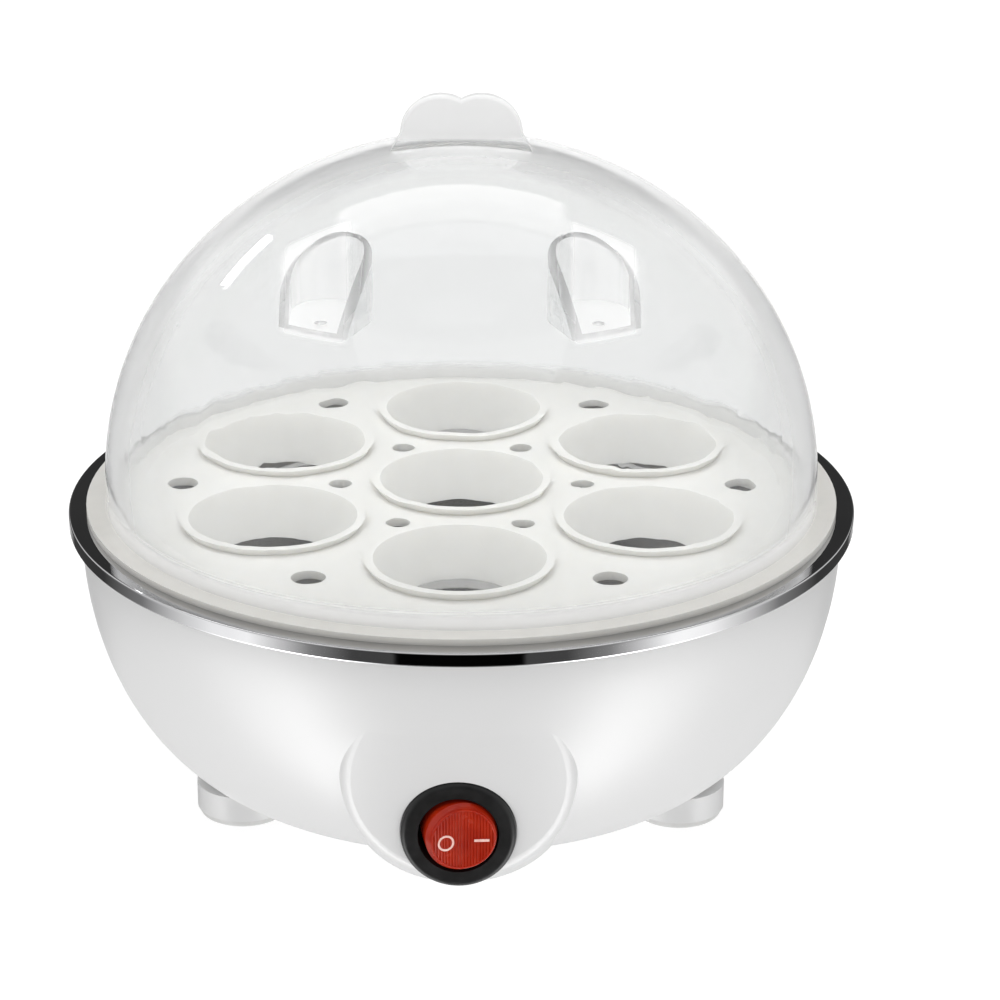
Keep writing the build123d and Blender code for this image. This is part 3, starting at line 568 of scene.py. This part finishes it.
def pick(piece, kind, test):
    """Selects the points, edges or faces whose middle passes a test, in millimetres."""
    bpy.ops.mesh.select_mode(type=kind)
    bpy.ops.mesh.select_all(action="DESELECT")
    form = bmesh.from_edit_mesh(piece.data)
    if kind == "VERT":
        for point in form.verts:
            point.select_set(bool(test(point.co / MM)))
    elif kind == "EDGE":
        for edge in form.edges:
            edge.select_set(bool(test((edge.verts[0].co + edge.verts[1].co) / 2 / MM)))
    else:
        for face in form.faces:
            face.select_set(bool(test(face.calc_center_median() / MM)))
    form.select_flush_mode()
    bmesh.update_edit_mesh(piece.data)


def on_ring(at, across, height):
    """Whether a point lies on a level ring about Z, in millimetres."""
    return abs(hypot(at.x, at.y) - across) < RING_SLACK and abs(at.z - height) < LEVEL_SLACK


def finish_piece(piece, finish, body):
    """Leaves edit mode and gives a piece its shading, finish and body."""
    if piece.mode == "EDIT":
        bpy.ops.object.mode_set(mode="OBJECT")
    bpy.ops.object.shade_smooth_by_angle(angle=SMOOTH_ANGLE)
    piece.data.materials.append(finish)
    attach(piece, body)


def model_tray():
    """The spun steel tray, with a crisp rim turned down round its flange."""
    piece = new_piece("tray_shell")
    turn_profile(TRAY_SECTION, TRAY_STEPS)
    for across, height, width, cuts in TRAY_BENDS:
        pick(piece, "EDGE", lambda at: on_ring(at, across, height))
        bpy.ops.mesh.bevel(offset=width * MM, segments=cuts, affect="EDGES")
    finish_piece(piece, finishes["polished_steel"], "base")
    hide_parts("heating_tray")


def rocker_place():
    """The plane that the rocker is drawn in, at its pivot and tipped to the left."""
    joints = frame["record"]["behaviour"]["joints"]
    pivot = next(joint["pos_m"] for joint in joints if joint["name"] == "rocker_tilt")
    along = Vector((cos(ROCKER_TILT), sin(ROCKER_TILT), 0))
    out = Vector((sin(ROCKER_TILT), -cos(ROCKER_TILT), 0))
    turn = Matrix((along, Vector((0, 0, 1)), out)).transposed().to_4x4()
    return Matrix.Translation(pivot) @ turn


def settle(piece, place):
    """Moves a piece from its own plane to its place and leaves its object at the origin."""
    bpy.ops.object.mode_set(mode="OBJECT")
    piece.matrix_world = place
    bpy.ops.object.transform_apply(location=True, rotation=True, scale=True)


def cut_ribs(piece):
    """Sinks fine upright grooves into the rocker's flat face."""
    face_r, face_h = ROCKER_PROFILE[-1]
    lines = int(2 * (face_r - GROOVE_HALF) / RIB_PITCH)
    grooves = [(count - lines / 2) * RIB_PITCH for count in range(lines + 1)]

    def on_face(at):
        return at.z > face_h - LINE_SLACK and hypot(at.x, at.y) < face_r - LEVEL_SLACK

    for across in grooves:
        for off in (-GROOVE_HALF, 0, GROOVE_HALF):
            pick(piece, "FACE", on_face)
            spot = ((across + off) * MM, 0, 0)
            bpy.ops.mesh.bisect(plane_co=spot, plane_no=(1, 0, 0), threshold=CUT_GAP)
    for across in grooves:
        pick(piece, "VERT", lambda at: abs(at.x - across) < LINE_SLACK and abs(at.z - face_h) < LINE_SLACK)
        bpy.ops.transform.translate(value=(0, 0, -GROOVE_DEPTH * MM))
    bpy.ops.mesh.select_all(action="SELECT")
    bpy.ops.mesh.normals_make_consistent(inside=False)


def dish_height(across):
    """How far the dish lifts the rocker's face at a distance across it, in millimetres."""
    return across * across / DISH_CURVE - DISH_DROP


def dish_head(piece):
    """Bends the rocker's face and rim into a dish, and its walls less towards their foot."""
    for point in piece.data.vertices:
        share = (point.co.z / MM - DISH_FOOT) / (DISH_HEAD - DISH_FOOT)
        share = min(max(share, 0), 1)
        point.co.z += share * dish_height(point.co.x / MM) * MM


def model_rocker():
    """The red rocker: hollow, with a rim round a dished face that has fine upright ribs."""
    piece = new_piece("rocker_cap")
    turn_profile(ROCKER_PROFILE, ROCKER_STEPS)
    pick(piece, "VERT", lambda at: on_ring(at, *ROCKER_PROFILE[-1]))
    bpy.ops.mesh.edge_face_add()
    cut_ribs(piece)
    bpy.ops.object.mode_set(mode="OBJECT")
    dish_head(piece)
    settle(piece, rocker_place())
    finish_piece(piece, finishes["red_rocker"], "rocker")
    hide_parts("rocker")


def mark_place(across, up):
    """A plane that lies on the rocker's dished face."""
    height = ROCKER_PROFILE[-1][1] + dish_height(across) - MARK_SINK
    slope = Matrix.Rotation(-2 * across / DISH_CURVE, 4, "Y")
    return rocker_place() @ Matrix.Translation(Vector((across, up, height)) * MM) @ slope


def model_ring_mark():
    """The open ring that marks the rocker's off side."""
    piece = new_piece("mark_ring")
    inner = RING_OUTER - RING_STROKE
    shoulder = MARK_HEIGHT - MARK_EDGE
    section = (
        (inner, 0), (inner, shoulder), (inner + MARK_EDGE, MARK_HEIGHT),
        (RING_OUTER - MARK_EDGE, MARK_HEIGHT), (RING_OUTER, shoulder), (RING_OUTER, 0), (inner, 0),
    )
    turn_profile(section, RING_STEPS)
    settle(piece, mark_place(*RING_PLACE))
    finish_piece(piece, finishes["mark_paint"], "rocker")


def model_bar_mark():
    """The bar that marks the rocker's on side."""
    bpy.ops.object.select_all(action="DESELECT")
    bpy.ops.mesh.primitive_cube_add(size=MM, scale=(BAR_LENGTH, BAR_WIDTH, MARK_HEIGHT))
    piece = bpy.context.object
    piece.name = "mark_bar"
    bpy.ops.object.transform_apply(location=True, rotation=True, scale=True)
    bpy.ops.object.mode_set(mode="EDIT")
    bpy.ops.mesh.select_all(action="SELECT")
    bpy.ops.transform.translate(value=(0, 0, MARK_HEIGHT / 2 * MM))
    pick(piece, "EDGE", lambda at: at.z > LINE_SLACK)
    bpy.ops.mesh.bevel(offset=MARK_EDGE * MM, segments=2, affect="EDGES")
    settle(piece, mark_place(*BAR_PLACE))
    finish_piece(piece, finishes["mark_paint"], "rocker")


model_tray()
model_rocker()
model_ring_mark()
model_bar_mark()


# Studio


def place_camera():
    """The photograph's view, aimed at the middle of the tray's ring."""
    target = Vector((0, 0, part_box("heating_tray")[1].z))
    data = bpy.data.cameras.new("view")
    data.lens = VIEW_LENS
    data.shift_x, data.shift_y = VIEW_SHIFT
    data.clip_start = VIEW_NEAR
    camera = bpy.data.objects.new("view", data)
    ahead = cos(VIEW_RISE)
    camera.location = target + VIEW_DISTANCE * Vector(
        (ahead * sin(VIEW_TURN), -ahead * cos(VIEW_TURN), sin(VIEW_RISE))
    )
    camera.rotation_euler = (radians(90) - VIEW_RISE, 0, VIEW_TURN)
    bpy.context.collection.objects.link(camera)
    bpy.context.scene.camera = camera


def softbox(name, place, aim, width, height, power, along=(1, 0, 0)):
    """A soft rectangular lamp, its width in one direction."""
    data = bpy.data.lights.new(name, "AREA")
    data.shape = "RECTANGLE"
    data.size = width
    data.size_y = height
    data.energy = power
    lamp = bpy.data.objects.new(name, data)
    lamp.location = place
    out = (Vector(place) - Vector(aim)).normalized()
    across = (Vector(along) - out * out.dot(Vector(along))).normalized()
    lamp.rotation_euler = Matrix((across, out.cross(across), out)).transposed().to_euler()
    bpy.context.collection.objects.link(lamp)
    return lamp


def lay_floor():
    """A plain floor that glows evenly and that mirrors don't show, so that they show the studio."""
    bpy.ops.object.select_all(action="DESELECT")
    bpy.ops.mesh.primitive_plane_add(size=FLOOR_SIZE)
    floor = bpy.context.object
    floor.name = "floor"
    material = new_finish("floor", (0.35, 0.35, 0.35), 0.8)
    tint(material, grain(material, 3, 2), (0.345, 0.345, 0.345), (0.355, 0.355, 0.355))
    set_values(material, Emission_Color=(1, 1, 1, 1), Emission_Strength=FLOOR_GLOW)
    floor.data.materials.append(material)
    floor.visible_glossy = False


def grey_ramp(tree, value, stops):
    """Greys along a value from 0 to 1, brighter than white where a stop says so."""
    brightest = max(grey for at, grey in stops)
    made = tree.nodes.new("ShaderNodeValToRGB")
    ramp = made.color_ramp
    while len(ramp.elements) < len(stops):
        ramp.elements.new(0.5)
    for stop, (at, grey) in zip(ramp.elements, stops):
        stop.position = at
        stop.color = (*[grey / brightest] * 3, 1)
    tree.links.new(value, made.inputs["Fac"])
    return times(tree, made.outputs["Color"], brightest)


def climb(tree, axes, span):
    """0 below one height over the horizon and 1 above another, in degrees."""
    return fade(tree, axes["Z"], *(sin(radians(angle)) for angle in span))


def turn_from_front(tree, axes):
    """How far a direction turns away from the front, 0 in front and 1 behind."""
    aside = sum_of(tree, "ABSOLUTE", axes["X"])
    ahead = times(tree, axes["Y"], -1.0)
    return sum_of(tree, "DIVIDE", sum_of(tree, "ARCTAN2", aside, ahead), pi)


def lens_light(tree, axes):
    """A soft-edged light high up behind, by how far a direction leans from upright."""
    share = fade(tree, axes["Z"], *LENS_FOOT)
    for axis, place, reach in zip("XY", LENS_PLACE, LENS_REACH):
        lean = sum_of(tree, "DIVIDE", axes[axis], axes["Z"])
        off = sum_of(tree, "ABSOLUTE", sum_of(tree, "SUBTRACT", lean, place))
        share = times(tree, share, rest_of(tree, fade(tree, off, reach - LENS_EDGE, reach)))
    return times(tree, share, LENS_LIGHT)


def mirrored_studio(tree, axes, turn, high_band):
    """What mirrors show: the bands of grey, the sky over them and the light high up behind."""
    low_band = grey_ramp(tree, turn, LOW_BAND)
    rim_band = grey_ramp(tree, turn, RIM_BAND)
    lower = mix_of(tree, climb(tree, axes, RIM_RISE), low_band, rim_band)
    whole = mix_of(tree, climb(tree, axes, HIGH_RISE), lower, high_band)
    whole = mix_of(tree, climb(tree, axes, SKY_RISE), whole, SKY_LIGHT)
    return sum_of(tree, "ADD", whole, lens_light(tree, axes))


def plain_backdrop(tree, axes, path, high_band):
    """White to look at and an even light; mirrors see it through the lid as dark low down behind."""
    passed = path["Is Transmission Ray"]
    straight = sum_of(tree, "MAXIMUM", path["Is Camera Ray"], passed)
    backdrop = mix_of(tree, straight, FILL_LIGHT, BACKDROP)
    low_down = sum_of(tree, "SUBTRACT", climb(tree, axes, BEHIND_FOOT), climb(tree, axes, BEHIND_HEAD))
    through = mix_of(tree, low_down, BACKDROP, high_band)
    bounced = sum_of(tree, "MINIMUM", path["Glossy Depth"], 1.0)
    return mix_of(tree, times(tree, passed, bounced), backdrop, through)


def studio_world():
    """Even white light, with the studio's bright and dark sides for reflections alone."""
    world = bpy.data.worlds.new("studio")
    world.use_nodes = True
    bpy.context.scene.world = world
    tree = world.node_tree
    tree.nodes.clear()
    axes = axes_of(tree, "Generated")
    path = tree.nodes.new("ShaderNodeLightPath").outputs
    turn = turn_from_front(tree, axes)
    high_band = grey_ramp(tree, turn, HIGH_BAND)
    backdrop = plain_backdrop(tree, axes, path, high_band)
    whole = mirrored_studio(tree, axes, turn, high_band)
    mirrored = times(tree, path["Is Glossy Ray"], rest_of(tree, path["Is Transmission Ray"]))
    light = tree.nodes.new("ShaderNodeBackground")
    light.inputs["Color"].default_value = (1, 1, 1, 1)
    tree.links.new(mix_of(tree, mirrored, backdrop, whole), light.inputs["Strength"])
    output = tree.nodes.new("ShaderNodeOutputWorld")
    tree.links.new(light.outputs["Background"], output.inputs["Surface"])


def light_studio():
    """A wide overhead light that shows no highlight, and a slanted strip that only shows as one."""
    overhead = softbox(
        "overhead", OVERHEAD_PLACE, (0, 0, 0), OVERHEAD_SIZE, OVERHEAD_SIZE, OVERHEAD_POWER
    )
    overhead.visible_glossy = False
    low_end, high_end = (Vector(end) for end in STRIP_ENDS)
    along = high_end - low_end
    middle = (low_end + high_end) / 2
    strip = softbox("left_strip", middle, STRIP_AIM, along.length, STRIP_WIDTH, STRIP_POWER, along)
    strip.visible_diffuse = False
    shown_on = bpy.data.collections.new("strip_shown_on")
    shown_on.objects.link(nodes["lid"])
    strip.light_linking.receiver_collection = shown_on


place_camera()
lay_floor()
studio_world()
light_studio()
bpy.context.scene.view_settings.view_transform = "Standard"
# Light finds its way along the lid's thick edges
bpy.context.scene.cycles.glossy_bounces = 12
bpy.context.scene.cycles.transmission_bounces = 16
bpy.context.scene.cycles.max_bounces = 20
